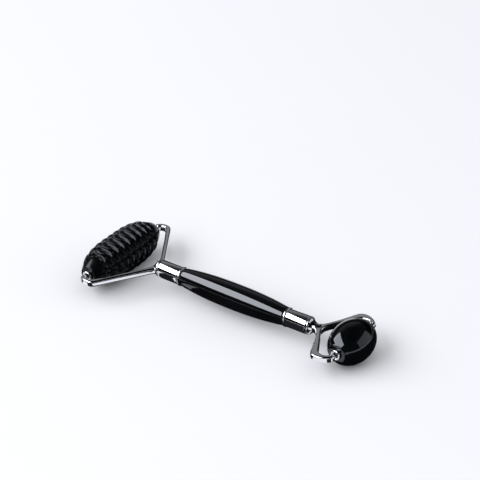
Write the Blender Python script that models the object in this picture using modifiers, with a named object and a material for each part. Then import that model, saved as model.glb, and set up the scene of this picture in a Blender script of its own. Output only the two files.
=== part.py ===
"""Double-ended face roller.

A slim spindle handle carries a chrome yoke at each end.  The large yoke holds a long ridged
stone, the small yoke a short smooth stone, and each stone spins freely on two pivot pins.

Lengths are in metres.  +X points from the large head to the small head, Y runs along both
roller axes and Z is up.  The tool lies level on its two stones, which touch Z = 0.
"""
import math

import bpy
import bmesh
from mathutils import Matrix

# overall layout
AXIS_Z = 0.0105            # height of the handle's axis and both roller axes
LARGE_AXLE_X = -0.0700
SMALL_AXLE_X = 0.0700
GAP = 0.0003               # space kept between pieces that touch or nest

# handle
GRIP_X0 = -0.0301
GRIP_X1 = 0.0319
GRIP_END_R = 0.0046
GRIP_MID_R = 0.0066
GRIP_FULLNESS = 2.3        # exponent of the spindle's curve
ROD_R = 0.00165            # tie rod from yoke to yoke
ROD_BORE_R = 0.0021
ROD_X0 = -0.0413
ROD_X1 = 0.0431
RING_R = 0.00495           # trim ring between grip and ferrule
RING_LENGTH = 0.0012
FERRULE_R = 0.0046
FERRULE_BORE_R = 0.0037
FERRULE_LENGTH = 0.0117
FERRULE_WALL = 0.0022      # end wall on the grip's side
SPIGOT_R = 0.0034          # yoke spigot inside the ferrule

# stones
LARGE_STONE_R = 0.0105     # over the ridges
LARGE_STONE_HALF = 0.0260
LARGE_END_R = 0.0042
LARGE_LEVEL_HALF = 0.00456 # the stone is level between the two rings it rests on
LARGE_CURVE_LENGTH = 0.0270  # from there to where its curve would reach the axis
LARGE_FULLNESS = 2.5
RIDGE_HEIGHT = 0.0007
RIDGE_ROWS = 9
RIDGE_PITCH = 0.00456
MIDDLE_CREST = 0.97        # the middle ring is a hair lower than its two neighbours
PADS_AROUND = 9
FIRST_PAD_DEG = 3          # turns a full-height edge of a pad to the stone's lowest line
SMALL_STONE_R = 0.0105
SMALL_STONE_HALF = 0.0129
SMALL_CURVE_HALF = 0.0142
STONE_BORE_R = 0.0023

# running gear, the same at all four stone ends
CAP_R = 0.00265
CAP_BORE_R = 0.0015
CAP_THICK = 0.0011
BUSH_R = 0.0020
BUSH_BORE_R = 0.0010
BUSH_LENGTH = 0.0058
PIN_R = 0.0007
PIN_DEPTH = 0.0015         # length held in the yoke tip
BOSS_R = 0.0015
BOSS_END_WALL = 0.0005     # metal left beyond the blind pin hole
LARGE_PIN_SHOWN = 0.0009   # bare pin between cap and yoke tip
SMALL_PIN_SHOWN = 0.0016

# yokes: plan outlines of one arm, (along the handle from the ferrule, sideways), in mm
PLATE_HALF = 0.0017
PLATE_ROUNDING = 0.0009
LARGE_REACH = 0.0264       # ferrule end to roller axis
LARGE_OUTER = [
    (0.3, 4.1), (1.2, 4.4), (2.2, 5.1), (3.2, 6.3), (4.2, 7.9), (9.0, 15.5), (13.8, 23.1),
    (18.3, 30.3), (19.3, 31.4), (20.7, 32.2), (22.4, 32.5), (24.2, 32.3), (25.7, 31.6),
    (27.0, 30.4), (27.7, 28.7),
]
LARGE_INNER = [
    (25.1, 28.3), (24.6, 29.2), (24.0, 29.7), (23.3, 29.9), (22.5, 29.9), (21.7, 29.7),
    (20.9, 28.9),
    (15.8, 21.8), (11.0, 14.2), (6.3, 6.7), (5.4, 5.0), (4.8, 3.3), (4.4, 1.7),
]
LARGE_CROTCH = (4.3, 0.0)
SMALL_REACH = 0.0246
SMALL_OUTER = [
    (0.3, 3.4), (1.1, 2.9), (2.3, 2.5), (3.8, 2.5), (5.3, 3.1), (6.8, 4.9), (8.7, 8.2),
    (10.7, 12.1), (12.6, 16.1), (13.6, 18.5), (14.7, 20.3), (16.4, 21.6), (18.6, 21.9),
    (21.0, 21.4), (23.2, 20.3), (24.9, 18.9), (25.9, 17.0),
]
SMALL_INNER = [
    (23.3, 16.4), (22.9, 17.4), (22.3, 17.9), (21.4, 18.2), (20.2, 18.3), (18.6, 18.0),
    (17.2, 17.0),
    (15.6, 14.4), (13.2, 10.4), (10.9, 6.6), (9.2, 3.8), (8.5, 2.4), (8.1, 1.2),
]
SMALL_CROTCH = (8.0, 0.0)

ALONG_X = Matrix.Rotation(math.radians(90), 3, 'Y')
ALONG_Y = Matrix.Rotation(math.radians(-90), 3, 'X')


def clear_scene():
    for old in list(bpy.data.objects):
        bpy.data.objects.remove(old, do_unlink=True)


def new_collection(name):
    made = bpy.data.collections.new(name)
    bpy.context.scene.collection.children.link(made)
    return made


def material(name, colour, metallic, roughness):
    made = bpy.data.materials.new(name)
    made.use_nodes = True
    shader = made.node_tree.nodes["Principled BSDF"]
    shader.inputs["Base Color"].default_value = (*colour, 1.0)
    shader.inputs["Metallic"].default_value = metallic
    shader.inputs["Roughness"].default_value = roughness
    made.diffuse_color = (*colour, 1.0)
    return made


def chrome(name):
    return material(name, (0.82, 0.83, 0.85), 1.0, 0.06)


def smooth(mesh, angle=35):
    for face in mesh.polygons:
        face.use_smooth = True
    mesh.set_sharp_from_angle(angle=math.radians(angle))


def add_object(name, mesh, where, mat=None, location=(0, 0, 0)):
    made = bpy.data.objects.new(name, mesh)
    made.location = location
    if mat is not None:
        mesh.materials.append(mat)
    where.objects.link(made)
    return made


def baked(source):
    """Return the source object's modified mesh, welded and without its modifiers."""
    bpy.context.view_layer.update()
    graph = bpy.context.evaluated_depsgraph_get()
    mesh = bpy.data.meshes.new_from_object(source.evaluated_get(graph), depsgraph=graph)
    bm = bmesh.new()
    bm.from_mesh(mesh)
    bmesh.ops.remove_doubles(bm, verts=bm.verts, dist=1e-6)
    bm.to_mesh(mesh)
    bm.free()
    mesh.materials.clear()
    return mesh


def turned_mesh(name, profile, steps, turn, closed=True):
    """Spin (radius, height) points about Z, then turn the body by the given rotation.

    A closed profile is a bored piece: outer side top to bottom, then its bore bottom to top.
    """
    line = bpy.data.meshes.new(name + "_profile")
    points = [(r, 0.0, h) for r, h in profile]
    edges = [(i, i + 1) for i in range(len(points) - 1)]
    if closed:
        edges.append((len(points) - 1, 0))
    line.from_pydata(points, edges, [])
    temp = bpy.data.objects.new(name + "_profile", line)
    bpy.context.scene.collection.objects.link(temp)
    screw = temp.modifiers.new("Turn", 'SCREW')
    screw.axis = 'Z'
    screw.angle = math.radians(360)
    screw.steps = steps
    screw.render_steps = steps
    screw.use_merge_vertices = True
    screw.merge_threshold = 0.00001
    screw.use_normal_calculate = True
    mesh = baked(temp)
    bpy.data.objects.remove(temp, do_unlink=True)
    mesh.name = name
    mesh.transform(turn.to_4x4())
    return mesh


def tube_profile(outer_r, bore_r, low, high, edge=0.0002):
    """Profile of a plain bush or ring with a small chamfer on its outer edges."""
    return [
        (bore_r, high),
        (outer_r - edge, high),
        (outer_r, high - edge),
        (outer_r, low + edge),
        (outer_r - edge, low),
        (bore_r, low),
    ]


def rod_profile(radius, low, high, edge=0.0002):
    """Open profile of a solid rod, from the axis at the top to the axis at the bottom."""
    return [
        (0.0, high),
        (radius - edge, high),
        (radius, high - edge),
        (radius, low + edge),
        (radius - edge, low),
        (0.0, low),
    ]


def boolean(target, other, operation):
    step = target.modifiers.new(operation.title(), 'BOOLEAN')
    step.operation = operation
    step.solver = 'EXACT'
    step.object = other


def grip_radius(x):
    half = (GRIP_X1 - GRIP_X0) / 2
    across = abs(x - (GRIP_X0 + GRIP_X1) / 2) / half
    return GRIP_END_R + (GRIP_MID_R - GRIP_END_R) * (1 - across ** GRIP_FULLNESS)


def make_grip(where):
    edge = 0.0003
    count = 14
    profile = [(ROD_BORE_R, GRIP_X1), (GRIP_END_R - edge, GRIP_X1)]
    for i in range(count + 1):
        x = GRIP_X1 - edge + (GRIP_X0 - GRIP_X1 + 2 * edge) * i / count
        profile.append((grip_radius(x), x))
    profile += [(GRIP_END_R - edge, GRIP_X0), (ROD_BORE_R, GRIP_X0)]
    mesh = turned_mesh("grip", profile, 32, ALONG_X)
    smooth(mesh)
    lacquer = material("grip_black_gloss", (0.012, 0.012, 0.013), 0.0, 0.18)
    add_object("grip", mesh, where, lacquer, (0, 0, AXIS_Z))


def make_tie_rod(where):
    mesh = turned_mesh("tie_rod", rod_profile(ROD_R, ROD_X0, ROD_X1), 20, ALONG_X, closed=False)
    smooth(mesh)
    steel = material("rod_steel", (0.55, 0.55, 0.56), 1.0, 0.3)
    add_object("tie_rod", mesh, where, steel, (0, 0, AXIS_Z))


def make_trim_ring(where, name, start, way):
    """A polished ring against the grip's end; way is +1 towards the small head."""
    low, high = sorted((start, start + way * RING_LENGTH))
    profile = [
        (ROD_BORE_R, high),
        (RING_R - 0.0004, high),
        (RING_R - 0.0001, high - 0.0002),
        (RING_R, (low + high) / 2),
        (RING_R - 0.0001, low + 0.0002),
        (RING_R - 0.0004, low),
        (ROD_BORE_R, low),
    ]
    mesh = turned_mesh(name, profile, 32, ALONG_X)
    smooth(mesh)
    add_object(name, mesh, where, chrome(name + "_chrome"), (0, 0, AXIS_Z))


def make_ferrule(where, name, start, way):
    """A chrome sleeve with a stepped bore; start is its end on the grip's side."""
    end = start + way * FERRULE_LENGTH
    step = start + way * FERRULE_WALL
    edge = 0.00025 * way
    profile = [
        (FERRULE_BORE_R, end),
        (FERRULE_R - 0.00025, end),
        (FERRULE_R, end - edge),
        (FERRULE_R, start + edge),
        (FERRULE_R - 0.00025, start),
        (ROD_BORE_R, start),
        (ROD_BORE_R, step),
        (FERRULE_BORE_R, step),
    ]
    if way < 0:
        profile.reverse()
    mesh = turned_mesh(name, profile, 32, ALONG_X)
    smooth(mesh)
    add_object(name, mesh, where, chrome(name + "_chrome"), (0, 0, AXIS_Z))


def plate_mesh(name, outer, inner, crotch, face_x, way):
    """A flat cast plate with rounded edges from one arm's outline and its mirror image."""
    arm = outer + inner
    loop = arm + [crotch] + [(along, -side) for along, side in reversed(arm)]
    curve = bpy.data.curves.new(name + "_outline", 'CURVE')
    curve.dimensions = '2D'
    curve.fill_mode = 'BOTH'
    curve.extrude = PLATE_HALF - PLATE_ROUNDING
    curve.bevel_depth = PLATE_ROUNDING
    curve.bevel_resolution = 2
    curve.offset = -PLATE_ROUNDING
    spline = curve.splines.new('POLY')
    spline.points.add(len(loop) - 1)
    for point, (along, side) in zip(spline.points, loop):
        point.co = (face_x + way * along * 0.001, side * 0.001, 0.0, 1.0)
    spline.use_cyclic_u = True
    temp = bpy.data.objects.new(name + "_outline", curve)
    bpy.context.scene.collection.objects.link(temp)
    mesh = baked(temp)
    bpy.data.objects.remove(temp, do_unlink=True)
    bm = bmesh.new()
    bm.from_mesh(mesh)
    bmesh.ops.recalc_face_normals(bm, faces=bm.faces)
    bm.to_mesh(mesh)
    bm.free()
    return mesh


def neck_profile(face_x, way, shoulder, waist):
    """Solid spigot, shoulder and tapering neck, from the axis at one end to the other."""
    spigot_end = face_x - way * (FERRULE_LENGTH - FERRULE_WALL - 2 * GAP)
    heights = [
        (0.0, spigot_end),
        (SPIGOT_R - 0.0003, spigot_end),
        (SPIGOT_R, spigot_end + way * 0.0003),
        (SPIGOT_R, face_x + way * GAP),
    ]
    heights += [(r, face_x + way * h) for r, h in shoulder]
    heights += [(r, face_x + way * h) for r, h in waist]
    if way > 0:
        heights.reverse()
    return heights


def make_yoke(where, cutters, name, spec):
    way, face_x = spec["way"], spec["face_x"]
    plate = plate_mesh(name, spec["outer"], spec["inner"], spec["crotch"], face_x, way)
    body = add_object(name + "_plate", plate, cutters)
    neck = turned_mesh(name + "_neck", neck_profile(face_x, way, spec["shoulder"], spec["waist"]),
                       32, ALONG_X, closed=False)
    boolean(body, add_object(name + "_neck", neck, cutters), 'UNION')
    for side in (1, -1):
        low, high = sorted((side * spec["boss_in"], side * spec["boss_out"]))
        boss = turned_mesh(f"{name}_boss{side}", rod_profile(BOSS_R, low, high, 0.00025),
                           24, ALONG_Y, closed=False)
        made = add_object(f"{name}_boss{side}", boss, cutters, None, (spec["axle_x"], 0, 0))
        boolean(body, made, 'UNION')
    for side in (1, -1):
        low, high = sorted((side * (spec["boss_in"] - 0.001),
                            side * (spec["boss_in"] + PIN_DEPTH + GAP)))
        hole = turned_mesh(f"{name}_hole{side}", rod_profile(PIN_R + GAP, low, high, 0.0001),
                           20, ALONG_Y, closed=False)
        made = add_object(f"{name}_hole{side}", hole, cutters, None, (spec["axle_x"], 0, 0))
        boolean(body, made, 'DIFFERENCE')
    low, high = sorted((spec["rod_end"] + way * 2 * GAP, face_x - way * 0.012))
    socket = turned_mesh(name + "_socket", rod_profile(ROD_R + GAP, low, high, 0.0002),
                         20, ALONG_X, closed=False)
    boolean(body, add_object(name + "_socket", socket, cutters), 'DIFFERENCE')
    mesh = baked(body)
    smooth(mesh, 40)
    add_object(name, mesh, where, chrome(name + "_chrome"), (0, 0, AXIS_Z))


def ringed_radius(y, ridge):
    past = max(abs(y) - LARGE_LEVEL_HALF, 0.0) / LARGE_CURVE_LENGTH
    base = (LARGE_STONE_R - RIDGE_HEIGHT) * (1 - past ** LARGE_FULLNESS)
    return max(base, LARGE_END_R) + ridge * RIDGE_HEIGHT


def large_stone_rows():
    """(y, ridge share) down the large stone from +Y to -Y: grooves and flat-topped ridges."""
    rows = [(LARGE_STONE_HALF, 0.0), (LARGE_STONE_HALF - 0.0005, 0.3)]
    first = RIDGE_PITCH * (RIDGE_ROWS - 1) / 2
    for row in range(RIDGE_ROWS):
        centre = first - row * RIDGE_PITCH
        crest = MIDDLE_CREST if row == RIDGE_ROWS // 2 else 1.0
        rows += [(centre + 0.0021, 0.0), (centre + 0.0013, 0.8), (centre, crest),
                 (centre - 0.0013, 0.8), (centre - 0.0021, 0.0)]
    rows += [(0.0005 - LARGE_STONE_HALF, 0.3), (-LARGE_STONE_HALF, 0.0)]
    return rows


def make_large_stone(where, mat):
    """Rings of raised pads: nine rows along the stone, each broken by nine notches."""
    angles = []
    for pad in range(PADS_AROUND):
        middle = FIRST_PAD_DEG + pad * 360 / PADS_AROUND
        angles += [(middle - 13, 1.0), (middle, 1.0), (middle + 13, 1.0), (middle + 20, 0.1)]
    rows = large_stone_rows()
    bm = bmesh.new()
    loops = []
    for angle, share in angles:
        turn = math.radians(angle)
        line = []
        for y, ridge in rows:
            r = ringed_radius(y, ridge * share)
            if abs(y) == LARGE_STONE_HALF:
                r = LARGE_END_R
            line.append(bm.verts.new((r * math.cos(turn), y, r * math.sin(turn))))
        for y in (-LARGE_STONE_HALF, LARGE_STONE_HALF):
            line.append(bm.verts.new((STONE_BORE_R * math.cos(turn), y,
                                      STONE_BORE_R * math.sin(turn))))
        loops.append(line)
    count = len(loops[0])
    for i, line in enumerate(loops):
        following = loops[(i + 1) % len(loops)]
        for j in range(count):
            k = (j + 1) % count
            bm.faces.new((line[j], line[k], following[k], following[j]))
    bmesh.ops.recalc_face_normals(bm, faces=bm.faces)
    mesh = bpy.data.meshes.new("large_stone")
    bm.to_mesh(mesh)
    bm.free()
    smooth(mesh, 30)
    add_object("large_stone", mesh, where, mat, (LARGE_AXLE_X, 0, AXIS_Z))


def make_small_stone(where, mat):
    edge = 0.0004
    count = 14
    half = SMALL_STONE_HALF - edge
    profile = [(STONE_BORE_R, SMALL_STONE_HALF)]
    end_r = SMALL_STONE_R * math.sqrt(1 - (half / SMALL_CURVE_HALF) ** 2)
    profile.append((end_r - edge, SMALL_STONE_HALF))
    for i in range(count + 1):
        turn = math.asin(half / SMALL_CURVE_HALF) * (1 - 2 * i / count)
        profile.append((SMALL_STONE_R * math.cos(turn), SMALL_CURVE_HALF * math.sin(turn)))
    profile += [(end_r - edge, -SMALL_STONE_HALF), (STONE_BORE_R, -SMALL_STONE_HALF)]
    mesh = turned_mesh("small_stone", profile, 40, ALONG_Y)
    smooth(mesh)
    add_object("small_stone", mesh, where, mat, (SMALL_AXLE_X, 0, AXIS_Z))


def make_end_gear(where, head, half, axle_x, side, boss_in):
    """Cap, bush and pivot pin at one end of a stone; side is +1 at the back, -1 at the front."""
    label = head + ("_back" if side > 0 else "_front")
    spot = (axle_x, 0, AXIS_Z)
    near, far = side * (half + GAP), side * (half + GAP + CAP_THICK)
    low, high = sorted((near, far))
    cap = turned_mesh(label + "_cap", tube_profile(CAP_R, CAP_BORE_R, low, high, 0.0003),
                      24, ALONG_Y)
    smooth(cap)
    add_object(label + "_cap", cap, where, chrome(label + "_cap_chrome"), spot)
    low, high = sorted((side * (half - BUSH_LENGTH), side * half))
    bush = turned_mesh(label + "_bush", tube_profile(BUSH_R, BUSH_BORE_R, low, high), 20, ALONG_Y)
    smooth(bush)
    nylon = material(label + "_bush_nylon", (0.02, 0.02, 0.022), 0.0, 0.45)
    add_object(label + "_bush", bush, where, nylon, spot)
    low, high = sorted((side * (half - BUSH_LENGTH + 0.0006), side * (boss_in + PIN_DEPTH)))
    pin = turned_mesh(label + "_pin", rod_profile(PIN_R, low, high, 0.00015), 16, ALONG_Y,
                      closed=False)
    smooth(pin)
    steel = material(label + "_pin_steel", (0.6, 0.6, 0.62), 1.0, 0.22)
    add_object(label + "_pin", pin, where, steel, spot)


def yoke_specs():
    large_boss = LARGE_STONE_HALF + GAP + CAP_THICK + LARGE_PIN_SHOWN
    small_boss = SMALL_STONE_HALF + GAP + CAP_THICK + SMALL_PIN_SHOWN
    boss_length = PIN_DEPTH + GAP + BOSS_END_WALL
    large = {
        "way": -1, "face_x": LARGE_AXLE_X + LARGE_REACH, "axle_x": LARGE_AXLE_X,
        "outer": LARGE_OUTER, "inner": LARGE_INNER, "crotch": LARGE_CROTCH,
        "shoulder": [(0.0042, GAP), (0.0044, 0.0006), (0.0044, 0.0014)],
        "waist": [(0.0038, 0.0024), (0.0026, 0.0035), (0.0012, 0.0040), (0.0, 0.0041)],
        "boss_in": large_boss, "boss_out": large_boss + boss_length, "rod_end": ROD_X0,
    }
    small = {
        "way": 1, "face_x": SMALL_AXLE_X - SMALL_REACH, "axle_x": SMALL_AXLE_X,
        "outer": SMALL_OUTER, "inner": SMALL_INNER, "crotch": SMALL_CROTCH,
        "shoulder": [(0.0042, GAP), (0.0044, 0.0006), (0.0043, 0.0010)],
        "waist": [(0.0034, 0.0018), (0.0027, 0.0030), (0.0024, 0.0045), (0.0021, 0.0060),
                  (0.0014, 0.0072), (0.0, 0.0076)],
        "boss_in": small_boss, "boss_out": small_boss + boss_length, "rod_end": ROD_X1,
    }
    return large, small


def build():
    clear_scene()
    where = new_collection("face_roller")
    cutters = new_collection("cutters")
    large, small = yoke_specs()
    make_grip(where)
    make_tie_rod(where)
    make_trim_ring(where, "trim_ring_large", GRIP_X0 - GAP, -1)
    make_trim_ring(where, "trim_ring_small", GRIP_X1 + GAP, 1)
    make_ferrule(where, "ferrule_large", GRIP_X0 - 2 * GAP - RING_LENGTH, -1)
    make_ferrule(where, "ferrule_small", GRIP_X1 + 2 * GAP + RING_LENGTH, 1)
    make_yoke(where, cutters, "yoke_large", large)
    make_yoke(where, cutters, "yoke_small", small)
    stone = material("stone_satin_black", (0.014, 0.014, 0.015), 0.0, 0.42)
    polished = material("stone_polished_black", (0.01, 0.01, 0.011), 0.0, 0.06)
    make_large_stone(where, stone)
    make_small_stone(where, polished)
    for side in (-1, 1):
        make_end_gear(where, "large", LARGE_STONE_HALF, LARGE_AXLE_X, side, large["boss_in"])
        make_end_gear(where, "small", SMALL_STONE_HALF, SMALL_AXLE_X, side, small["boss_in"])
    for cutter in cutters.objects:
        cutter.hide_render = True
        cutter.display_type = 'WIRE'


build()
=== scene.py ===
"""Looks of the double-ended face roller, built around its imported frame.

Lengths are in metres.  +X points from the large head to the small head, Y runs along both
roller axes and Z is up.
"""
import math

import bpy
import bmesh
from mathutils import Matrix, Quaternion, Vector


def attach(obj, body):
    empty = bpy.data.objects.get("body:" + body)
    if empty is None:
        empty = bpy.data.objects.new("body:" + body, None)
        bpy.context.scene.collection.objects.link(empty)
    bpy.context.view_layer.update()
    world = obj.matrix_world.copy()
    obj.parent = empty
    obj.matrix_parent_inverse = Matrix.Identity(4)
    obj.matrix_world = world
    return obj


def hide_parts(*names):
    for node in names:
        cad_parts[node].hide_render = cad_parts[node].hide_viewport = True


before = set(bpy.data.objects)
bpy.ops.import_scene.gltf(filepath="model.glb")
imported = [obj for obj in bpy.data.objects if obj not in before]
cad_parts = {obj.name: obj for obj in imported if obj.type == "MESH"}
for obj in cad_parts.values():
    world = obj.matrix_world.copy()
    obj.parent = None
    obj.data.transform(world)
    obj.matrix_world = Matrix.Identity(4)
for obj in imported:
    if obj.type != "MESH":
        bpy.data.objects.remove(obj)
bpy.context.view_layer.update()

MM = 0.001
AXIS_Z = 0.0105
LARGE_AXLE_X = -0.0700
SMALL_AXLE_X = 0.0700
GAP = 0.0003

# handle
GRIP_X0, GRIP_X1 = -0.0301, 0.0319
GRIP_END_R, GRIP_MID_R, GRIP_FULLNESS = 0.0046, 0.0066, 2.3
ROD_BORE_R = 0.0021
RING_R, RING_LENGTH = 0.00495, 0.0012
FERRULE_R, FERRULE_BORE_R = 0.0046, 0.0037
FERRULE_LENGTH, FERRULE_WALL = 0.0117, 0.0022
SPIGOT_R = 0.0034
GRIP_EDGE, BEAD_ROUNDING, SLEEVE_LIP, SLEEVE_BEVEL = 0.0003, 0.0005, 0.0001, 0.00022
GRIP_STEPS = 90

# stones and their running gear
LARGE_STONE_R, LARGE_STONE_HALF, LARGE_END_R = 0.0105, 0.0260, 0.0042
LARGE_LEVEL_HALF, LARGE_CURVE_LENGTH, LARGE_FULLNESS = 0.00456, 0.0270, 2.5
RIDGE_HEIGHT, RIDGE_ROWS, RIDGE_PITCH = 0.0007, 9, 0.00456
PIT_DEPTH, PAD_SHARE, RING_SWAY = 0.00065, 0.78, 0.12
PADS_AROUND, FIRST_PAD_DEG = 9, 3
RING_HALF_SHARE, RING_SHARPNESS = 0.46, 1.35
PAD_TIP_SHARE, PAD_GROWTH_SHARE, PAD_DOMING = 0.08, 0.50, 0.35
STEPS_AROUND_PAD, STEPS_ACROSS_RING = 38, 30
SMALL_STONE_R, SMALL_STONE_HALF, SMALL_CURVE_HALF = 0.0105, 0.0129, 0.0142
SMALL_EDGE, SMALL_STEPS = 0.0004, 96
LARGE_SHOULDER = 0.00045
STONE_BORE_R = 0.0023
CAP_R, CAP_BORE_R, CAP_THICK = 0.00265, 0.0015, 0.0011
CAP_RIM_R, CAP_DISH_R, CAP_DISH_DEPTH = 0.00182, 0.00172, 0.00055
BUSH_LENGTH = 0.0058
PIN_R, PIN_DEPTH, PIN_INSET, PIN_BEVEL = 0.0007, 0.0015, 0.0006, 0.00015
BOSS_R, BOSS_END_WALL = 0.0015, 0.0005
LARGE_PIN_SHOWN, SMALL_PIN_SHOWN = 0.0009, 0.0016

# yokes: plan outlines of one arm, (along the handle from the ferrule, sideways), in mm
PLATE_HALF, PLATE_ROUNDING = 0.0017, 0.0009
LARGE_REACH, SMALL_REACH = 0.0264, 0.0246
LARGE_OUTER = [
    (0.3, 4.1), (1.2, 4.4), (2.2, 5.1), (3.2, 6.3), (4.2, 7.9), (9.0, 15.5), (13.8, 23.1),
    (18.3, 30.3), (19.3, 31.4), (20.7, 32.2), (22.4, 32.5), (24.2, 32.3), (25.7, 31.6),
    (27.0, 30.4), (27.7, 28.7),
]
LARGE_INNER = [
    (25.1, 28.3), (24.6, 29.2), (24.0, 29.7), (23.3, 29.9), (22.5, 29.9), (21.7, 29.7),
    (20.9, 28.9), (15.8, 21.8), (11.0, 14.2), (6.3, 6.7), (5.4, 5.0), (4.8, 3.3), (4.4, 1.7),
]
LARGE_CROTCH = (4.3, 0.0)
SMALL_OUTER = [
    (0.3, 3.4), (1.1, 2.9), (2.3, 2.5), (3.8, 2.5), (5.3, 3.1), (6.8, 4.9), (8.7, 8.2),
    (10.7, 12.1), (12.6, 16.1), (13.6, 18.5), (14.7, 20.3), (16.4, 21.6), (18.6, 21.9),
    (21.0, 21.4), (23.2, 20.3), (24.9, 18.9), (25.9, 17.0),
]
SMALL_INNER = [
    (23.3, 16.4), (22.9, 17.4), (22.3, 17.9), (21.4, 18.2), (20.2, 18.3), (18.6, 18.0),
    (17.2, 17.0), (15.6, 14.4), (13.2, 10.4), (10.9, 6.6), (9.2, 3.8), (8.5, 2.4), (8.1, 1.2),
]
SMALL_CROTCH = (8.0, 0.0)

# the cool cast of the gloss on everything black
BLACK_GLOSS = (0.90, 0.94, 1.0, 1.0)

CAST_VOXEL = 0.00013
CAST_SMOOTHING = 9

# stage
FLOOR_REACH, FLOOR_DROP, FLAG_LIFT = 6.0, 0.00002, 0.00004
# matt black cards on the floor, which only show in reflections: plan outlines, in mm
FLAGS = (
    ("flag_grip", [
        (-26, 8), (46, 8), (50, -20), (50, -62), (140, -400), (-500, -500), (-500, -160),
        (-104, -66), (-66, -56), (-50, -45), (-43, -34), (-36, -22), (-32, -14), (-29, -8),
        (-27, -2)]),
    ("flag_sleeve", [
        (-26, 8), (-47, 6), (-48, -2), (-50, -8), (-53, -14), (-58, -22), (-64, -32),
        (-68, -40), (-78, -61), (-58, -56), (-52, -43), (-49, -34), (-44, -22), (-40, -14),
        (-38, -9), (-29, -8), (-27, -2)]),
    ("flag_small_head", [
        (50, -16), (70, -19), (84, -40), (150, -60), (170, 60), (110, 110), (48, 60)]),
    ("flag_large_head", [
        (-120, -60), (-88, -42), (-82, -29), (-67, -31), (-50, -4), (-50, 5), (-66, 34),
        (-85, 45), (-120, 60)]),
    ("flag_back_small", [
        (30, 62), (108, 112), (300, 200), (200, 600), (-300, 600), (-20, 120)]),
    ("flag_back_large", [
        (-87, 47), (-110, 90), (-360, 600), (-800, 600), (-600, 0), (-122, 0), (-122, 62)]),
)
# the room as gloss sees it: (share of the way from the horizon to the zenith, radiance)
ROOM_STEPS = ((0.10, 0.015), (0.38, 0.030), (0.47, 0.17), (0.55, 0.19), (0.63, 0.12),
              (0.74, 0.12), (0.80, 0.035))
FILL_RADIANCE = (1.35, 1.355, 1.38, 1)
BACKDROP_RADIANCE = (0.85, 0.87, 0.92, 1)

# camera
CAMERA_AZIMUTH, CAMERA_ELEVATION, CAMERA_ROLL = 37.2, 31.6, -1.24
CAMERA_DISTANCE, CAMERA_AIM = 1.32, (-0.0070, 0.0155, 0.0322)
CAMERA_LENS = 203.1


# ---------------------------------------------------------------- node helpers

def new_material(name):
    made = bpy.data.materials.new(name)
    made.use_nodes = True
    tree = made.node_tree
    return made, tree, tree.nodes["Principled BSDF"]


def object_point(tree, scale=(1, 1, 1)):
    """The piece's own coordinates, so that a pattern turns with its piece."""
    where = tree.nodes.new("ShaderNodeTexCoord")
    mapping = tree.nodes.new("ShaderNodeMapping")
    mapping.inputs["Scale"].default_value = scale
    tree.links.new(where.outputs["Object"], mapping.inputs["Vector"])
    return mapping.outputs["Vector"]


def noise(tree, point, scale, detail=3.0, roughness=0.5):
    made = tree.nodes.new("ShaderNodeTexNoise")
    made.inputs["Scale"].default_value = scale
    made.inputs["Detail"].default_value = detail
    made.inputs["Roughness"].default_value = roughness
    tree.links.new(point, made.inputs["Vector"])
    return made.outputs["Fac"]


def spread(tree, value, low, high, from_low=0.3, from_high=0.7):
    """Map a 0 to 1 pattern onto a range of values."""
    made = tree.nodes.new("ShaderNodeMapRange")
    made.inputs["From Min"].default_value = from_low
    made.inputs["From Max"].default_value = from_high
    made.inputs["To Min"].default_value = low
    made.inputs["To Max"].default_value = high
    tree.links.new(value, made.inputs["Value"])
    return made.outputs["Result"]


def mix_colour(tree, value, first, second):
    made = tree.nodes.new("ShaderNodeMix")
    made.data_type = 'RGBA'
    made.inputs["A"].default_value = (*first, 1.0)
    made.inputs["B"].default_value = (*second, 1.0)
    tree.links.new(value, made.inputs["Factor"])
    return made.outputs["Result"]


def bump(tree, height, distance, strength=1.0, under=None):
    made = tree.nodes.new("ShaderNodeBump")
    made.inputs["Strength"].default_value = strength
    made.inputs["Distance"].default_value = distance
    tree.links.new(height, made.inputs["Height"])
    if under is not None:
        tree.links.new(under, made.inputs["Normal"])
    return made.outputs["Normal"]


# ---------------------------------------------------------------- materials

def gloss_lacquer():
    """Black lacquer: a faint orange peel and hair-fine handling marks."""
    made, tree, shader = new_material("grip_black_lacquer")
    links = tree.links
    point = object_point(tree)
    drawn = object_point(tree, (0.06, 1.0, 1.0))
    tone = mix_colour(tree, spread(tree, noise(tree, point, 90), 0, 1),
                      (0.0010, 0.0011, 0.0014), (0.0020, 0.0021, 0.0025))
    links.new(tone, shader.inputs["Base Color"])
    marks = noise(tree, drawn, 2600, 4.0, 0.6)
    links.new(spread(tree, marks, 0.045, 0.085), shader.inputs["Roughness"])
    peel = bump(tree, noise(tree, point, 420, 1.0), 0.0000022)
    links.new(peel, shader.inputs["Normal"])
    shader.inputs["IOR"].default_value = 1.64
    shader.inputs["Specular Tint"].default_value = BLACK_GLOSS
    shader.inputs["Coat Weight"].default_value = 0.4
    shader.inputs["Coat Roughness"].default_value = 0.03
    return made


def polished_chrome(name, along=(1.0, 1.0, 1.0), roughness=(0.035, 0.075), peel=0.0000012):
    """Bright plating with fine polishing lines and a very slight waviness."""
    made, tree, shader = new_material(name)
    links = tree.links
    point = object_point(tree)
    drawn = object_point(tree, along)
    tone = mix_colour(tree, spread(tree, noise(tree, point, 160), 0, 1),
                      (0.80, 0.81, 0.83), (0.88, 0.885, 0.90))
    links.new(tone, shader.inputs["Base Color"])
    shader.inputs["Metallic"].default_value = 1.0
    lines = noise(tree, drawn, 3200, 3.0, 0.6)
    links.new(spread(tree, lines, *roughness), shader.inputs["Roughness"])
    wave = bump(tree, noise(tree, point, 260, 1.0), peel)
    links.new(wave, shader.inputs["Normal"])
    return made


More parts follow.
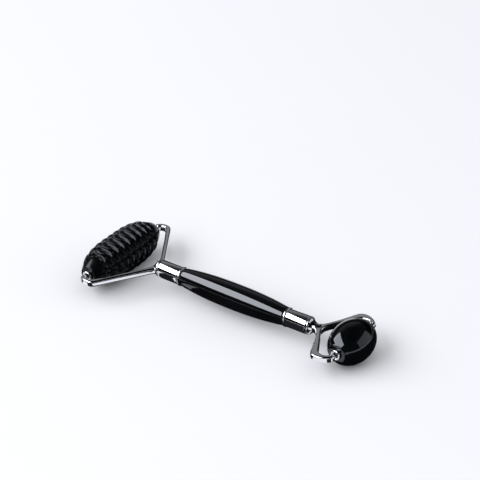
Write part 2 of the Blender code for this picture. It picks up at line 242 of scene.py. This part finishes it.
def ridged_stone():
    """Carved black stone, satin: fine grain and cloudy tone."""
    made, tree, shader = new_material("stone_ridged_black")
    links = tree.links
    point = object_point(tree)
    clouds = noise(tree, point, 130, 5.0, 0.6)
    tone = mix_colour(tree, spread(tree, clouds, 0, 1),
                      (0.0003, 0.0005, 0.0007), (0.0009, 0.0013, 0.0017))
    links.new(tone, shader.inputs["Base Color"])
    grain = noise(tree, point, 1500, 4.0, 0.65)
    links.new(spread(tree, grain, 0.16, 0.27), shader.inputs["Roughness"])
    links.new(bump(tree, grain, 0.000007, 0.5), shader.inputs["Normal"])
    shader.inputs["IOR"].default_value = 1.37
    shader.inputs["Specular Tint"].default_value = BLACK_GLOSS
    return made


def polished_stone():
    """The same stone brought to a mirror polish, with dim clouds and a few paler flecks."""
    made, tree, shader = new_material("stone_polished_black")
    links = tree.links
    point = object_point(tree)
    clouds = noise(tree, point, 110, 6.0, 0.62)
    tone = mix_colour(tree, spread(tree, clouds, 0, 1, 0.35, 0.75),
                      (0.0006, 0.0008, 0.0010), (0.0024, 0.0028, 0.0030))
    links.new(tone, shader.inputs["Base Color"])
    grain = noise(tree, point, 900, 3.0)
    links.new(spread(tree, grain, 0.012, 0.035), shader.inputs["Roughness"])
    links.new(bump(tree, noise(tree, point, 180, 1.0), 0.0000015), shader.inputs["Normal"])
    shader.inputs["IOR"].default_value = 1.58
    shader.inputs["Specular Tint"].default_value = BLACK_GLOSS
    return made


def ground_steel(name, along):
    """Bare steel with fine grinding lines."""
    made, tree, shader = new_material(name)
    links = tree.links
    drawn = object_point(tree, along)
    lines = noise(tree, drawn, 2400, 3.0, 0.6)
    tone = mix_colour(tree, spread(tree, lines, 0, 1), (0.50, 0.50, 0.51), (0.62, 0.62, 0.64))
    links.new(tone, shader.inputs["Base Color"])
    shader.inputs["Metallic"].default_value = 1.0
    links.new(spread(tree, lines, 0.16, 0.30), shader.inputs["Roughness"])
    links.new(bump(tree, lines, 0.000002, 0.6), shader.inputs["Normal"])
    return made


def black_nylon():
    """Moulded black plastic, matt and slightly grained."""
    made, tree, shader = new_material("bush_black_nylon")
    links = tree.links
    point = object_point(tree)
    grain = noise(tree, point, 1800, 3.0)
    tone = mix_colour(tree, spread(tree, grain, 0, 1), (0.014, 0.014, 0.016), (0.024, 0.024, 0.026))
    links.new(tone, shader.inputs["Base Color"])
    links.new(spread(tree, grain, 0.38, 0.52), shader.inputs["Roughness"])
    links.new(bump(tree, grain, 0.000006, 0.6), shader.inputs["Normal"])
    return made


# ---------------------------------------------------------------- mesh helpers

def rounded(points, steps=5, closed=False):
    """Round the corners of a path of (x, y, radius) points; a zero radius stays sharp."""
    out = []
    count = len(points)
    for i, (x, y, radius) in enumerate(points):
        here = Vector((x, y))
        if radius <= 0 or (not closed and i in (0, count - 1)):
            out.append((x, y))
            continue
        back = Vector(points[i - 1][:2]) - here
        ahead = Vector(points[(i + 1) % count][:2]) - here
        half = back.angle(ahead) / 2
        reach = min(radius / math.tan(half), back.length * 0.49, ahead.length * 0.49)
        start, end = here + back.normalized() * reach, here + ahead.normalized() * reach
        middle = (start + end) / 2
        centre = here + (middle - here).normalized() * (reach / math.cos(half))
        arm0, arm1 = start - centre, end - centre
        turn = arm0.angle(arm1)
        for k in range(steps + 1):
            share = k / steps
            a = math.sin((1 - share) * turn) / math.sin(turn)
            b = math.sin(share * turn) / math.sin(turn)
            out.append(tuple(centre + arm0 * a + arm1 * b))
    return out


def turned(name, profile, axis, segments=96, closed=True, sharp=None):
    """A smooth body of revolution from (radius, position along the axis) points."""
    bm = bmesh.new()
    rings = []
    for radius, along in profile:
        ring = []
        for k in range(1 if radius < 1e-7 else segments):
            turn = 2 * math.pi * k / segments
            a, b = radius * math.cos(turn), radius * math.sin(turn)
            ring.append(bm.verts.new((along, a, b) if axis == 'X' else (a, along, b)))
        rings.append(ring)
    pairs = list(zip(rings, rings[1:]))
    if closed:
        pairs.append((rings[-1], rings[0]))
    for first, second in pairs:
        for k in range(segments):
            n = (k + 1) % segments
            if len(first) == 1 and len(second) == 1:
                break
            if len(first) == 1:
                bm.faces.new((first[0], second[k], second[n]))
            elif len(second) == 1:
                bm.faces.new((first[k], second[0], first[n]))
            else:
                bm.faces.new((first[k], second[k], second[n], first[n]))
    bmesh.ops.recalc_face_normals(bm, faces=bm.faces)
    mesh = bpy.data.meshes.new(name)
    bm.to_mesh(mesh)
    bm.free()
    finish_mesh(mesh, sharp)
    return mesh


def finish_mesh(mesh, sharp=None):
    """Shade smooth, with hard edges only above the given angle in degrees."""
    for face in mesh.polygons:
        face.use_smooth = True
    if sharp is not None:
        mesh.set_sharp_from_angle(angle=math.radians(sharp))


def place(name, mesh, mat, location, body, nodes):
    """Make a piece that rides on a body and stands for the given CAD nodes."""
    made = bpy.data.objects.new(name, mesh)
    mesh.materials.append(mat)
    made.location = location
    bpy.context.scene.collection.objects.link(made)
    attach(made, body)
    if nodes:
        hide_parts(*nodes)
    return made


def dress(node_name, mat):
    """Give a CAD node its own procedural material."""
    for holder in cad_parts[node_name].material_slots:
        holder.material = mat


# ---------------------------------------------------------------- handle

def grip_radius(x):
    """The spindle's radius at x along the handle."""
    half = (GRIP_X1 - GRIP_X0) / 2
    across = abs(x - (GRIP_X0 + GRIP_X1) / 2) / half
    return GRIP_END_R + (GRIP_MID_R - GRIP_END_R) * (1 - across ** GRIP_FULLNESS)


def make_handle():
    centre = (0, 0, AXIS_Z)
    edge = GRIP_EDGE
    side = []
    for i in range(GRIP_STEPS + 1):
        x = GRIP_X1 - edge + (GRIP_X0 - GRIP_X1 + 2 * edge) * i / GRIP_STEPS
        side.append((grip_radius(x), x))
    nose = []
    for k in range(1, 6):
        turn = math.radians(90 * k / 6)
        nose.append((edge * (1 - math.sin(turn)), edge * (1 - math.cos(turn))))
    profile = [(ROD_BORE_R, GRIP_X1), (GRIP_END_R - edge, GRIP_X1)]
    profile += [(GRIP_END_R - inset, GRIP_X1 - back) for inset, back in nose]
    profile += side
    profile += [(GRIP_END_R - inset, GRIP_X0 + back) for inset, back in reversed(nose)]
    profile += [(GRIP_END_R - edge, GRIP_X0), (ROD_BORE_R, GRIP_X0)]
    mesh = turned("grip_lacquered", profile, 'X', 128, sharp=50)
    place("grip_lacquered", mesh, gloss_lacquer(), centre, "handle", ["grip"])

    ring_chrome = polished_chrome("chrome_ring", (0.1, 1.0, 1.0))
    sleeve_chrome = polished_chrome("chrome_sleeve", (1.0, 0.08, 0.08))
    for head, start, way in (("large", GRIP_X0, -1), ("small", GRIP_X1, 1)):
        near = start + way * GAP
        far = near + way * RING_LENGTH
        low, high = sorted((near, far))
        bead = rounded([
            (ROD_BORE_R, high, 0), (RING_R, high, BEAD_ROUNDING),
            (RING_R, low, BEAD_ROUNDING), (ROD_BORE_R, low, 0)], 8, closed=True)
        place(f"trim_bead_{head}", turned(f"trim_bead_{head}", bead, 'X', 112, sharp=50),
              ring_chrome, centre, "handle", [f"trim_ring_{head}"])
        start = far + way * GAP
        end = start + way * FERRULE_LENGTH
        step = start + way * FERRULE_WALL
        sleeve = rounded([
            (FERRULE_BORE_R, end, SLEEVE_LIP), (FERRULE_R, end, SLEEVE_BEVEL),
            (FERRULE_R, start, SLEEVE_BEVEL), (ROD_BORE_R, start, 0),
            (ROD_BORE_R, step, 0), (FERRULE_BORE_R, step, 0)], 5, closed=True)
        place(f"sleeve_{head}", turned(f"sleeve_{head}", sleeve, 'X', 128, sharp=50),
              sleeve_chrome, centre, "handle", [f"ferrule_{head}"])


# ---------------------------------------------------------------- yokes

def flowing(points, per_span=6):
    """A smooth line through the points, which never swings wide of them."""
    out = []
    last = len(points) - 1
    for i in range(last):
        p0 = Vector(points[max(i - 1, 0)])
        p1, p2 = Vector(points[i]), Vector(points[i + 1])
        p3 = Vector(points[min(i + 2, last)])
        span = (p2 - p1).length
        lead = (p2 - p0).normalized() * span if i > 0 else p2 - p1
        trail = (p3 - p1).normalized() * span if i + 2 <= last else p2 - p1
        for k in range(per_span):
            t = k / per_span
            h0 = 2 * t ** 3 - 3 * t ** 2 + 1
            h1 = t ** 3 - 2 * t ** 2 + t
            h2 = -2 * t ** 3 + 3 * t ** 2
            h3 = t ** 3 - t ** 2
            out.append(tuple(p1 * h0 + lead * h1 + p2 * h2 + trail * h3))
    out.append(tuple(points[-1]))
    return out


def plate(name, outer, inner, crotch, face_x, way):
    """The flat fork, with its edges rounded over."""
    outer, inner = flowing(outer), flowing(inner)
    arm = outer + inner
    loop = arm + [crotch] + [(along, -side) for along, side in reversed(arm)]
    curve = bpy.data.curves.new(name, 'CURVE')
    curve.dimensions = '2D'
    curve.fill_mode = 'BOTH'
    curve.extrude = PLATE_HALF - PLATE_ROUNDING
    curve.bevel_depth = PLATE_ROUNDING
    curve.bevel_resolution = 5
    curve.offset = -PLATE_ROUNDING
    spline = curve.splines.new('POLY')
    spline.points.add(len(loop) - 1)
    for point, (along, side) in zip(spline.points, loop):
        point.co = (face_x + way * along * MM, side * MM, 0.0, 1.0)
    spline.use_cyclic_u = True
    temp = bpy.data.objects.new(name, curve)
    bpy.context.scene.collection.objects.link(temp)
    bpy.context.view_layer.update()
    graph = bpy.context.evaluated_depsgraph_get()
    mesh = bpy.data.meshes.new_from_object(temp.evaluated_get(graph), depsgraph=graph)
    bpy.data.objects.remove(temp, do_unlink=True)
    return mesh


def neck(name, face_x, way, shoulder):
    """The spigot inside the sleeve and the rounded shoulder in front of it."""
    spigot_end = face_x - way * (FERRULE_LENGTH - FERRULE_WALL - 2 * GAP)
    profile = [(0.0, spigot_end), (SPIGOT_R, spigot_end), (SPIGOT_R, face_x + way * GAP)]
    profile += [(r * MM, face_x + way * h * MM) for r, h in flowing(shoulder, 4)]
    return turned(name, profile, 'X', 96, closed=False)


def cast(name, parts):
    """Melt overlapping closed bodies into one smooth casting."""
    bm = bmesh.new()
    for mesh in parts:
        bm.from_mesh(mesh)
    bmesh.ops.remove_doubles(bm, verts=bm.verts, dist=1e-7)
    joined = bpy.data.meshes.new(name)
    bm.to_mesh(joined)
    bm.free()
    temp = bpy.data.objects.new(name + "_parts", joined)
    bpy.context.scene.collection.objects.link(temp)
    melt = temp.modifiers.new("Melt", 'REMESH')
    melt.mode = 'VOXEL'
    melt.voxel_size = CAST_VOXEL
    relax = temp.modifiers.new("Relax", 'SMOOTH')
    relax.factor = 0.5
    relax.iterations = CAST_SMOOTHING
    bpy.context.view_layer.update()
    graph = bpy.context.evaluated_depsgraph_get()
    mesh = bpy.data.meshes.new_from_object(temp.evaluated_get(graph), depsgraph=graph)
    bpy.data.objects.remove(temp, do_unlink=True)
    mesh.materials.clear()
    mesh.name = name
    finish_mesh(mesh)
    return mesh


def make_yokes():
    chrome = polished_chrome("chrome_yoke", (1.0, 1.0, 1.0), (0.03, 0.07), 0.0000018)
    large_shoulder = [(4.2, 0.3), (4.4, 0.6), (4.4, 1.4), (3.8, 2.4), (2.6, 3.5), (1.2, 4.0),
                      (0.0, 4.1)]
    small_shoulder = [(4.2, 0.3), (4.4, 0.6), (4.3, 1.0), (3.4, 1.8), (2.7, 3.0), (2.4, 4.5),
                      (2.1, 6.0), (1.4, 7.2), (0.0, 7.6)]
    heads = (
        ("large", -1, LARGE_AXLE_X, LARGE_AXLE_X + LARGE_REACH, LARGE_OUTER, LARGE_INNER,
         LARGE_CROTCH, large_shoulder, LARGE_STONE_HALF + GAP + CAP_THICK + LARGE_PIN_SHOWN),
        ("small", 1, SMALL_AXLE_X, SMALL_AXLE_X - SMALL_REACH, SMALL_OUTER, SMALL_INNER,
         SMALL_CROTCH, small_shoulder, SMALL_STONE_HALF + GAP + CAP_THICK + SMALL_PIN_SHOWN),
    )
    for head, way, axle_x, face_x, outer, inner, crotch, shoulder, boss_in in heads:
        parts = [plate(head + "_fork", outer, inner, crotch, face_x, way),
                 neck(head + "_neck", face_x, way, shoulder)]
        for side in (1, -1):
            low, high = sorted((side * boss_in,
                                side * (boss_in + PIN_DEPTH + GAP + BOSS_END_WALL)))
            boss = turned(f"{head}_boss{side}", [(0.0, high), (BOSS_R, high), (BOSS_R, low),
                                                 (0.0, low)], 'Y', 64, closed=False)
            boss.transform(Matrix.Translation((axle_x, 0, 0)))
            parts.append(boss)
        mesh = cast(f"fork_{head}", parts)
        place(f"fork_{head}", mesh, chrome, (0, 0, AXIS_Z), "handle", [f"yoke_{head}"])


# ---------------------------------------------------------------- stones

def envelope(y):
    """The large stone's radius at y, below its ridges."""
    past = max(abs(y) - LARGE_LEVEL_HALF, 0.0) / LARGE_CURVE_LENGTH
    return max((LARGE_STONE_R - RIDGE_HEIGHT) * (1 - past ** LARGE_FULLNESS), LARGE_END_R)


def ease(value):
    """A soft step from 0 to 1."""
    value = min(max(value, 0.0), 1.0)
    return value * value * (3 - 2 * value)


def carving(across, around):
    """Relief of the carving, 0 in the pits to 1 on the crest of a ring.

    across runs from -1 to 1 over one ring, with the valleys at both ends; around runs from -1
    to 1 over one pad of the valleys, which is blunt at +1 and pointed at -1.
    """
    sway = across + RING_SWAY * math.sin(math.pi * (around + 0.3)) * (1 - across * across)
    ring = max(1 - (abs(sway) / RING_HALF_SHARE) ** RING_SHARPNESS, 0.0)
    off_valley = 1 - abs(across)
    width = PAD_TIP_SHARE + PAD_GROWTH_SHARE * ease((around + 0.95) / 1.20)
    side = ease((width - off_valley) / 0.15 + 0.4)
    ends = ease((0.97 - around) / 0.12) * ease((around + 0.80) / 0.30)
    pad = PAD_SHARE * side * ends * (1 - PAD_DOMING * (off_valley / width) ** 2)
    return max(ring, pad)


def make_large_stone():
    first = RIDGE_PITCH * (RIDGE_ROWS - 1) / 2
    stations = []
    for row in range(RIDGE_ROWS):
        centre = -first + row * RIDGE_PITCH
        for k in range(STEPS_ACROSS_RING):
            share = -1 + 2 * k / STEPS_ACROSS_RING
            stations.append((centre + share * RIDGE_PITCH / 2, share))
    edge = first + RIDGE_PITCH / 2
    shoulder = LARGE_SHOULDER
    cone = [edge + (LARGE_STONE_HALF - shoulder - edge) * k / 24 for k in range(25)]
    nose = [(LARGE_STONE_HALF - shoulder + shoulder * math.sin(math.radians(15 * k)),
             shoulder * (1 - math.cos(math.radians(15 * k)))) for k in range(1, 7)]
    lines = []
    for y, inset in reversed(nose):
        lines.append((-y, None, inset))
    lines += [(-y, None, 0.0) for y in reversed(cone[1:])]
    lines += [(y, share, 0.0) for y, share in stations]
    lines += [(y, None, 0.0) for y in cone]
    lines += [(y, None, inset) for y, inset in nose]
    total = PADS_AROUND * STEPS_AROUND_PAD
    half_pad = STEPS_AROUND_PAD / 2
    bm = bmesh.new()
    rings = []

    def add_ring(y, radii):
        ring = []
        for k, radius in enumerate(radii):
            turn = math.radians(FIRST_PAD_DEG) + 2 * math.pi * k / total
            ring.append(bm.verts.new((radius * math.cos(turn), y, radius * math.sin(turn))))
        rings.append(ring)

    add_ring(-LARGE_STONE_HALF, [STONE_BORE_R] * total)
    for y, share, inset in lines:
        radii = []
        for k in range(total):
            radius = envelope(y) - inset
            if share is not None:
                around = ((k + half_pad) % STEPS_AROUND_PAD) / half_pad - 1
                radius += (RIDGE_HEIGHT + PIT_DEPTH) * carving(share, around) - PIT_DEPTH
            elif inset == 0.0:
                radius -= PIT_DEPTH * (1 - ease((abs(y) - edge) / 0.0008))
            radii.append(radius)
        add_ring(y, radii)
    add_ring(LARGE_STONE_HALF, [STONE_BORE_R] * total)
    for first_ring, second_ring in zip(rings, rings[1:]):
        for k in range(total):
            n = (k + 1) % total
            bm.faces.new((first_ring[k], second_ring[k], second_ring[n], first_ring[n]))
    first_ring, last_ring = rings[0], rings[-1]
    for k in range(total):
        n = (k + 1) % total
        bm.faces.new((last_ring[k], first_ring[k], first_ring[n], last_ring[n]))
    bmesh.ops.recalc_face_normals(bm, faces=bm.faces)
    mesh = bpy.data.meshes.new("stone_ridged")
    bm.to_mesh(mesh)
    bm.free()
    finish_mesh(mesh, 55)
    place("stone_ridged", mesh, ridged_stone(), (LARGE_AXLE_X, 0, AXIS_Z), "large_roller",
          ["large_stone"])


def make_small_stone():
    edge = SMALL_EDGE
    half = SMALL_STONE_HALF - edge
    end_r = SMALL_STONE_R * math.sqrt(1 - (half / SMALL_CURVE_HALF) ** 2)
    side = []
    for i in range(SMALL_STEPS + 1):
        turn = math.asin(half / SMALL_CURVE_HALF) * (1 - 2 * i / SMALL_STEPS)
        side.append((SMALL_STONE_R * math.cos(turn), SMALL_CURVE_HALF * math.sin(turn)))
    corner = [(end_r - edge * inset, SMALL_STONE_HALF - edge * back)
              for inset, back in ((1.15, 0.0), (0.52, 0.24), (0.18, 0.62))]
    profile = [(STONE_BORE_R, SMALL_STONE_HALF)] + corner + side
    profile += [(radius, -y) for radius, y in reversed(corner)]
    profile += [(STONE_BORE_R, -SMALL_STONE_HALF)]
    mesh = turned("stone_polished", profile, 'Y', 160, sharp=50)
    place("stone_polished", mesh, polished_stone(), (SMALL_AXLE_X, 0, AXIS_Z), "small_roller",
          ["small_stone"])


def make_end_gear():
    cap_chrome = polished_chrome("chrome_cap", (1.0, 0.1, 1.0), (0.05, 0.10))
    pin_steel = ground_steel("pin_steel", (1.0, 0.08, 1.0))
    nylon = black_nylon()
    heads = (("large", LARGE_AXLE_X, LARGE_STONE_HALF, LARGE_PIN_SHOWN),
             ("small", SMALL_AXLE_X, SMALL_STONE_HALF, SMALL_PIN_SHOWN))
    for head, axle_x, half, shown in heads:
        for label, side in (("front", -1), ("back", 1)):
            spot = (axle_x, 0, AXIS_Z)
            near = side * (half + GAP)
            far = side * (half + GAP + CAP_THICK)
            dish = far - side * CAP_DISH_DEPTH
            cap = rounded([
                (CAP_BORE_R, near, 0), (CAP_R, near, 0.00012), (CAP_R, far, 0.00045),
                (CAP_RIM_R, far, 0.00030), (CAP_DISH_R, dish, 0.00008),
                (CAP_BORE_R, dish, 0.00005)], 6, closed=True)
            name = f"end_cap_{head}_{label}"
            place(name, turned(name, cap, 'Y', 96, sharp=50), cap_chrome, spot,
                  f"{head}_roller", [f"{head}_{label}_cap"])
            inner = side * (half - BUSH_LENGTH + PIN_INSET)
            outer = side * (half + GAP + CAP_THICK + shown + PIN_DEPTH)
            pin = rounded([(0.0, inner, 0), (PIN_R, inner, PIN_BEVEL),
                           (PIN_R, outer, PIN_BEVEL), (0.0, outer, 0)], 4)
            name = f"pivot_pin_{head}_{label}"
            place(name, turned(name, pin, 'Y', 48, closed=False, sharp=50), pin_steel, spot,
                  "handle", [f"{head}_{label}_pin"])
            dress(f"{head}_{label}_bush", nylon)
    dress("tie_rod", ground_steel("rod_steel", (0.08, 1.0, 1.0)))


# ---------------------------------------------------------------- stage, light, camera

def make_stage():
    bm = bmesh.new()
    corners = [bm.verts.new((x * FLOOR_REACH, y * FLOOR_REACH, 0.0)) for x, y in
               ((-1, -1), (1, -1), (1, 1), (-1, 1))]
    bm.faces.new(corners)
    mesh = bpy.data.meshes.new("floor")
    bm.to_mesh(mesh)
    bm.free()
    made, tree, shader = new_material("floor_pale")
    point = object_point(tree)
    tone = mix_colour(tree, spread(tree, noise(tree, point, 3.0, 2.0), 0, 1),
                      (0.452, 0.456, 0.468), (0.457, 0.461, 0.473))
    tree.links.new(tone, shader.inputs["Base Color"])
    shader.inputs["Roughness"].default_value = 0.9
    shader.inputs["Specular IOR Level"].default_value = 0.15
    mesh.materials.append(made)
    floor = bpy.data.objects.new("floor", mesh)
    floor.location = (0, 0, -FLOOR_DROP)
    bpy.context.scene.collection.objects.link(floor)
    for name, corners in FLAGS:
        make_flag(name, corners)


def make_flag(name, corners):
    """A matt black card lying on the floor, which only shows in reflections."""
    bm = bmesh.new()
    bm.faces.new([bm.verts.new((x * MM, y * MM, FLAG_LIFT)) for x, y in corners])
    mesh = bpy.data.meshes.new(name)
    bm.to_mesh(mesh)
    bm.free()
    made, tree, shader = new_material(name + "_cloth")
    weave = noise(tree, object_point(tree), 900, 2.0)
    tone = mix_colour(tree, weave, (0.006, 0.006, 0.007), (0.012, 0.012, 0.014))
    tree.links.new(tone, shader.inputs["Base Color"])
    shader.inputs["Roughness"].default_value = 1.0
    shader.inputs["Specular IOR Level"].default_value = 0.0
    mesh.materials.append(made)
    card = bpy.data.objects.new(name, mesh)
    card.visible_camera = card.visible_diffuse = card.visible_shadow = False
    bpy.context.scene.collection.objects.link(card)


def softbox(name, azimuth, elevation, distance, width, height, radiance, tint=(1, 1, 1)):
    """A rectangular light that faces the object; azimuth 0 is the front, 90 the right."""
    a, e = math.radians(azimuth), math.radians(elevation)
    way = Vector((math.sin(a) * math.cos(e), -math.cos(a) * math.cos(e), math.sin(e)))
    lamp = bpy.data.lights.new(name, 'AREA')
    lamp.shape = 'RECTANGLE'
    lamp.size, lamp.size_y = width, height
    lamp.energy = radiance * math.pi * width * height
    lamp.color = tint
    made = bpy.data.objects.new(name, lamp)
    made.location = way * distance
    made.rotation_mode = 'QUATERNION'
    made.rotation_quaternion = (-way).to_track_quat('-Z', 'Y')
    bpy.context.scene.collection.objects.link(made)


def make_light():
    softbox("key_softbox", -40, 44, 2.2, 3.6, 1.45, 5.3, (0.95, 0.965, 1.0))
    softbox("side_panel", 122, 18, 2.4, 2.4, 1.5, 0.65, (0.93, 0.95, 1.0))
    world = bpy.data.worlds.new("studio")
    bpy.context.scene.world = world
    world.use_nodes = True
    tree = world.node_tree
    tree.nodes.clear()
    links = tree.links
    where = tree.nodes.new("ShaderNodeTexCoord")
    split = tree.nodes.new("ShaderNodeSeparateXYZ")
    links.new(where.outputs["Generated"], split.inputs["Vector"])
    height = spread(tree, split.outputs["Z"], 0.0, 1.0, 0.0, 1.0)
    ramp = tree.nodes.new("ShaderNodeValToRGB")
    stops = ramp.color_ramp.elements
    stops[0].position, stops[0].color = 0.0, (0.012, 0.012, 0.014, 1)
    stops[1].position, stops[1].color = 1.0, (0.020, 0.020, 0.024, 1)
    for at, value in ROOM_STEPS:
        made = stops.new(at)
        made.color = (value, value * 1.01, value * 1.05, 1)
    links.new(height, ramp.inputs["Fac"])
    # brighter towards the back, and towards the left
    depth = spread(tree, split.outputs["Y"], 0.25, 1.2, -0.4, 0.3)
    side = spread(tree, split.outputs["X"], 1.0, 0.12, -0.36, -0.08)
    room = tree.nodes.new("ShaderNodeBackground")
    links.new(ramp.outputs["Color"], room.inputs["Color"])
    both = tree.nodes.new("ShaderNodeMath")
    both.operation = 'MULTIPLY'
    links.new(depth, both.inputs[0])
    links.new(side, both.inputs[1])
    links.new(both.outputs["Value"], room.inputs["Strength"])
    # gloss sees the room, diffuse bounces an even fill, and the camera a plain backdrop
    seen = tree.nodes.new("ShaderNodeLightPath")
    fill = tree.nodes.new("ShaderNodeBackground")
    fill.inputs["Color"].default_value = FILL_RADIANCE
    soften = tree.nodes.new("ShaderNodeMixShader")
    links.new(seen.outputs["Is Diffuse Ray"], soften.inputs["Fac"])
    links.new(room.outputs["Background"], soften.inputs[1])
    links.new(fill.outputs["Background"], soften.inputs[2])
    backdrop = tree.nodes.new("ShaderNodeBackground")
    backdrop.inputs["Color"].default_value = BACKDROP_RADIANCE
    choose = tree.nodes.new("ShaderNodeMixShader")
    links.new(seen.outputs["Is Camera Ray"], choose.inputs["Fac"])
    links.new(soften.outputs["Shader"], choose.inputs[1])
    links.new(backdrop.outputs["Background"], choose.inputs[2])
    out = tree.nodes.new("ShaderNodeOutputWorld")
    links.new(choose.outputs["Shader"], out.inputs["Surface"])


def make_camera():
    a, e = math.radians(CAMERA_AZIMUTH), math.radians(CAMERA_ELEVATION)
    back = Vector((math.sin(a) * math.cos(e), -math.cos(a) * math.cos(e), math.sin(e)))
    lens = bpy.data.cameras.new("camera")
    lens.lens = CAMERA_LENS
    lens.sensor_width = 36
    lens.clip_start, lens.clip_end = 0.01, 50
    made = bpy.data.objects.new("camera", lens)
    made.location = Vector(CAMERA_AIM) + back * CAMERA_DISTANCE
    made.rotation_mode = 'QUATERNION'
    level = (-back).to_track_quat('-Z', 'Y')
    made.rotation_quaternion = level @ Quaternion((0, 0, 1), math.radians(CAMERA_ROLL))
    bpy.context.scene.collection.objects.link(made)
    bpy.context.scene.camera = made


make_camera()
make_handle()
make_yokes()
make_large_stone()
make_small_stone()
make_end_gear()
make_stage()
make_light()
bpy.context.scene.view_settings.view_transform = 'Standard'

bpy.context.view_layer.update()
